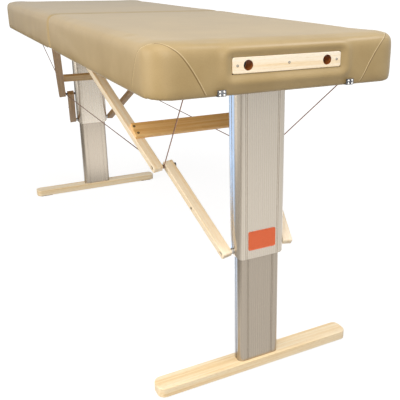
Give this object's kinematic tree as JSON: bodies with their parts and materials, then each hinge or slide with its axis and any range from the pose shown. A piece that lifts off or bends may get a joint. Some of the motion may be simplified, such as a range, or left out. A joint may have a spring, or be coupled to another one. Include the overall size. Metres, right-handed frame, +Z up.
{
  "type": "portable electric massage table",
  "caption": "Upholstered folding massage table on two motorised lifting columns with wooden feet, splayed folding struts, steel cables and face-rest bores in one end.",
  "frame": {"origin": "on the floor under the middle of the top", "axes": "+X along the table towards the face-rest end, +Y across the table, +Z up"},
  "size_m": [2.007, 0.65, 0.918],
  "materials": {
    "upholstery": "beige artificial leather over foam",
    "plywood": "bare plywood",
    "frame_wood": "bare wood",
    "beech": "clear lacquered beech",
    "zinc_steel": "zinc plated",
    "chrome": "polished",
    "dark_plastic": "fine texture",
    "cable_steel": "stranded, dull",
    "anodised": "satin anodised",
    "drive_plastic": "moulded",
    "motor_steel": "dark paint",
    "collar_plastic": "grey moulding",
    "foot_rubber": "matte",
    "dark_bolt": "black oxide"
  },
  "bodies": {
    "near_panel": {"near_pad": "upholstery", "near_deck": "plywood", "near_side_rails": "frame_wood", "near_end_rail": "frame_wood", "near_cross_boards": "frame_wood", "near_column_bracket": "zinc_steel", "near_brace_pins": "zinc_steel", "near_cable_anchors": "zinc_steel", "near_fold_leaves": "zinc_steel", "near_catches": "chrome", "face_rest_board": "beech", "control_case": "dark_plastic", "control_cover": "dark_plastic", "mains_inlet": "dark_plastic", "fold_pins": "zinc_steel", "front_cable": "cable_steel", "back_cable": "cable_steel"},
    "far_panel": {"far_pad": "upholstery", "far_deck": "plywood", "far_side_rails": "frame_wood", "far_end_rail": "frame_wood", "far_cross_boards": "frame_wood", "far_column_bracket": "zinc_steel", "far_brace_pins": "zinc_steel", "far_cable_anchors": "zinc_steel", "far_fold_leaves": "zinc_steel", "far_catches": "chrome"},
    "near_column": {"near_outer_tube": "anodised", "near_column_head": "drive_plastic", "near_pivot_pin": "zinc_steel", "near_gear_motor": "motor_steel", "near_lead_screw": "zinc_steel", "near_glide_collar": "collar_plastic"},
    "far_column": {"far_outer_tube": "anodised", "far_column_head": "drive_plastic", "far_pivot_pin": "zinc_steel", "far_gear_motor": "motor_steel", "far_lead_screw": "zinc_steel", "far_glide_collar": "collar_plastic"},
    "near_lift": {"near_inner_tube": "anodised", "near_screw_nut": "drive_plastic", "near_base_block": "zinc_steel", "near_foot": "beech", "near_foot_pads": "foot_rubber"},
    "far_lift": {"far_inner_tube": "anodised", "far_screw_nut": "drive_plastic", "far_base_block": "zinc_steel", "far_foot": "beech", "far_foot_pads": "foot_rubber"},
    "near_upper_brace": {"near_upper_struts": "beech", "near_crossbar": "beech"},
    "far_upper_brace": {"far_upper_struts": "beech", "far_crossbar": "beech"},
    "near_lower_brace": {"near_lower_struts": "beech", "near_knee_bolts": "dark_bolt", "near_ankle_studs": "zinc_steel"},
    "far_lower_brace": {"far_lower_struts": "beech", "far_knee_bolts": "dark_bolt", "far_ankle_studs": "zinc_steel"}
  },
  "joints": [
    {"name": "centre_fold", "type": "hinge", "parent": "near_panel", "child": "far_panel", "pos_m": [0, 0, 0.799], "axis": [0, -1, 0], "range_deg": [0, 85], "deforming": ["front_cable", "back_cable"]},
    {"name": "near_column_fold", "type": "hinge", "parent": "near_panel", "child": "near_column", "pos_m": [0.852, 0, 0.812], "axis": [0, 1, 0], "range_deg": [0, 90]},
    {"name": "near_lift", "type": "slide", "parent": "near_column", "child": "near_lift", "axis": [0, 0, 1], "range_m": [0, 0.24]},
    {"name": "near_upper_brace_fold", "type": "hinge", "parent": "near_panel", "child": "near_upper_brace", "pos_m": [0.152, 0, 0.854], "axis": [0, -1, 0], "range_deg": [0, 35.61]},
    {"name": "near_lower_brace_fold", "type": "hinge", "parent": "near_upper_brace", "child": "near_lower_brace", "pos_m": [0.60279, 0, 0.53716], "axis": [0, 1, 0], "range_deg": [0, 171.67]},
    {"name": "far_column_fold", "type": "hinge", "parent": "far_panel", "child": "far_column", "pos_m": [-0.852, 0, 0.812], "axis": [0, -1, 0], "range_deg": [0, 90]},
    {"name": "far_lift", "type": "slide", "parent": "far_column", "child": "far_lift", "axis": [0, 0, 1], "range_m": [0, 0.24]},
    {"name": "far_upper_brace_fold", "type": "hinge", "parent": "far_panel", "child": "far_upper_brace", "pos_m": [-0.152, 0, 0.854], "axis": [0, 1, 0], "range_deg": [0, 35.61]},
    {"name": "far_lower_brace_fold", "type": "hinge", "parent": "far_upper_brace", "child": "far_lower_brace", "pos_m": [-0.60279, 0, 0.53716], "axis": [0, -1, 0], "range_deg": [0, 171.67]}
  ],
  "couplings": [
    {"joint": "far_lift", "follows": "near_lift", "ratio": 1},
    {"joint": "near_upper_brace_fold", "follows": "near_column_fold", "ratio": 0.39558},
    {"joint": "near_lower_brace_fold", "follows": "near_column_fold", "ratio": 1.9073},
    {"joint": "far_upper_brace_fold", "follows": "far_column_fold", "ratio": 0.39558},
    {"joint": "far_lower_brace_fold", "follows": "far_column_fold", "ratio": 1.9073}
  ]
}
